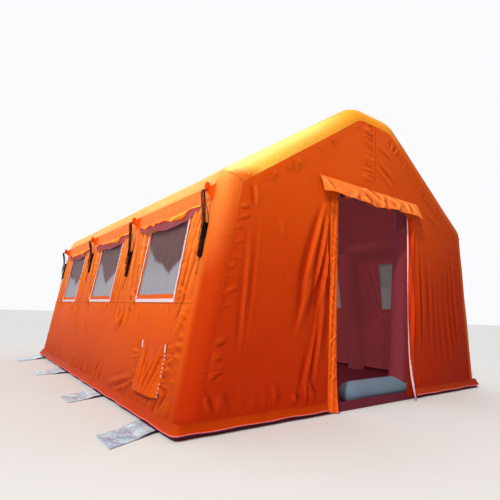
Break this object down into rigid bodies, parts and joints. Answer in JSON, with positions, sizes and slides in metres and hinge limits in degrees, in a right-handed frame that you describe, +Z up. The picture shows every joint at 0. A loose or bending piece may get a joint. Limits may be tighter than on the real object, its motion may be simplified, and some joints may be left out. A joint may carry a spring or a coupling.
{
  "type": "inflatable tent",
  "caption": "Gabled air-beam shelter tent with netted side windows, a hooded doorway, hitched covers, guy lines and ground anchor flaps.",
  "frame": {"origin": "on the ground under the middle of the floor", "axes": "+Z up, +Y along the tent from the door end to the rear end, +X to the right seen from the door"},
  "size_m": [4.794, 5.6083, 2.93],
  "materials": {
    "orange_cloth": "coated, satin",
    "orange_air_cloth": "coated, satin",
    "white_air_cloth": "coated, satin",
    "maroon_ground_cloth": "coated, satin",
    "grey_net": "matt woven net",
    "silver_flap": "metallised, glossy",
    "dark_cord": "matt braid",
    "grey_plastic": "matt",
    "black_plastic": "matt"
  },
  "bodies": {
    "tent": {"air_frame_front": "orange_air_cloth", "air_frame_second": "orange_air_cloth", "air_frame_third": "orange_air_cloth", "air_frame_rear": "orange_air_cloth", "door_post_left": "white_air_cloth", "door_post_right": "white_air_cloth", "sill_beam": "white_air_cloth", "inlet_valve": "grey_plastic", "relief_valve": "grey_plastic", "roof_panel": "orange_cloth", "side_wall_left": "orange_cloth", "side_wall_right": "orange_cloth", "corner_sleeve_front": "orange_cloth", "corner_sleeve_rear": "orange_cloth", "gable_front": "orange_cloth", "gable_rear": "orange_cloth", "ground_skirt": "orange_cloth", "door_curtain_roll": "orange_cloth", "groundsheet": "maroon_ground_cloth", "window_net_left_1": "grey_net", "window_cover_left_1": "orange_cloth", "window_net_left_2": "grey_net", "window_cover_left_2": "orange_cloth", "window_net_left_3": "grey_net", "window_cover_left_3": "orange_cloth", "guy_tab_left_1": "orange_cloth", "guy_tab_left_2": "orange_cloth", "guy_tab_left_3": "orange_cloth", "guy_tab_left_4": "orange_cloth", "window_net_right_1": "grey_net", "window_cover_right_1": "orange_cloth", "window_net_right_2": "grey_net", "window_cover_right_2": "orange_cloth", "window_net_right_3": "grey_net", "window_cover_right_3": "orange_cloth", "guy_tab_right_1": "orange_cloth", "guy_tab_right_2": "orange_cloth", "guy_tab_right_3": "orange_cloth", "guy_tab_right_4": "orange_cloth", "guy_line_1": "dark_cord", "guy_hank_1": "dark_cord", "guy_line_2": "dark_cord", "guy_hank_2": "dark_cord", "guy_line_3": "dark_cord", "guy_hank_3": "dark_cord", "guy_line_4": "dark_cord", "guy_hank_4": "dark_cord"},
    "anchor_flap_left_1": {"anchor_flap_left_1": "silver_flap"},
    "anchor_flap_left_2": {"anchor_flap_left_2": "silver_flap"},
    "anchor_flap_left_3": {"anchor_flap_left_3": "silver_flap"},
    "anchor_flap_left_4": {"anchor_flap_left_4": "silver_flap"},
    "anchor_flap_right_1": {"anchor_flap_right_1": "silver_flap"},
    "anchor_flap_right_2": {"anchor_flap_right_2": "silver_flap"},
    "anchor_flap_right_3": {"anchor_flap_right_3": "silver_flap"},
    "anchor_flap_right_4": {"anchor_flap_right_4": "silver_flap"},
    "door_hood": {"door_hood": "orange_cloth"},
    "storm_strip_left": {"storm_strip_left": "orange_cloth"},
    "storm_strip_right": {"storm_strip_right": "orange_cloth"},
    "service_flap": {"service_flap": "orange_cloth"},
    "inlet_valve_cap": {"inlet_valve_cap": "black_plastic"}
  },
  "joints": [
    {"name": "anchor_flap_left_1_hinge", "type": "hinge", "parent": "tent", "child": "anchor_flap_left_1", "pos_m": [-2.03715, 0, 0.02], "axis": [0, 1, 0], "range_deg": [0, 90]},
    {"name": "anchor_flap_left_2_hinge", "type": "hinge", "parent": "tent", "child": "anchor_flap_left_2", "pos_m": [-2.03715, 0, 0.02], "axis": [0, 1, 0], "range_deg": [0, 90]},
    {"name": "anchor_flap_left_3_hinge", "type": "hinge", "parent": "tent", "child": "anchor_flap_left_3", "pos_m": [-2.03715, 0, 0.02], "axis": [0, 1, 0], "range_deg": [0, 90]},
    {"name": "anchor_flap_left_4_hinge", "type": "hinge", "parent": "tent", "child": "anchor_flap_left_4", "pos_m": [-2.03715, 0, 0.02], "axis": [0, 1, 0], "range_deg": [0, 90]},
    {"name": "anchor_flap_right_1_hinge", "type": "hinge", "parent": "tent", "child": "anchor_flap_right_1", "pos_m": [2.03715, 0, 0.02], "axis": [0, -1, 0], "range_deg": [0, 90]},
    {"name": "anchor_flap_right_2_hinge", "type": "hinge", "parent": "tent", "child": "anchor_flap_right_2", "pos_m": [2.03715, 0, 0.02], "axis": [0, -1, 0], "range_deg": [0, 90]},
    {"name": "anchor_flap_right_3_hinge", "type": "hinge", "parent": "tent", "child": "anchor_flap_right_3", "pos_m": [2.03715, 0, 0.02], "axis": [0, -1, 0], "range_deg": [0, 90]},
    {"name": "anchor_flap_right_4_hinge", "type": "hinge", "parent": "tent", "child": "anchor_flap_right_4", "pos_m": [2.03715, 0, 0.02], "axis": [0, -1, 0], "range_deg": [0, 90]},
    {"name": "door_hood_hinge", "type": "hinge", "parent": "tent", "child": "door_hood", "pos_m": [-0.035, -2.7293, 2.09], "axis": [-1, 0, 0], "range_deg": [0, 90]},
    {"name": "storm_strip_left_hinge", "type": "hinge", "parent": "tent", "child": "storm_strip_left", "pos_m": [-0.62, -2.7288, 0], "axis": [0, 0, -1], "range_deg": [0, 60]},
    {"name": "storm_strip_right_hinge", "type": "hinge", "parent": "tent", "child": "storm_strip_right", "pos_m": [0.655, -2.7288, 0], "axis": [0, 0, 1], "range_deg": [0, 35]},
    {"name": "service_flap_hinge", "type": "hinge", "parent": "tent", "child": "service_flap", "pos_m": [-1.91263, -2.052, 0.59361], "axis": [0, 1, 0], "range_deg": [0, 120]},
    {"name": "inlet_valve_cap_turn", "type": "hinge", "parent": "tent", "child": "inlet_valve_cap", "pos_m": [-1.80341, -2.49, 0.42], "axis": [0, 1, 0], "continuous": true}
  ]
}
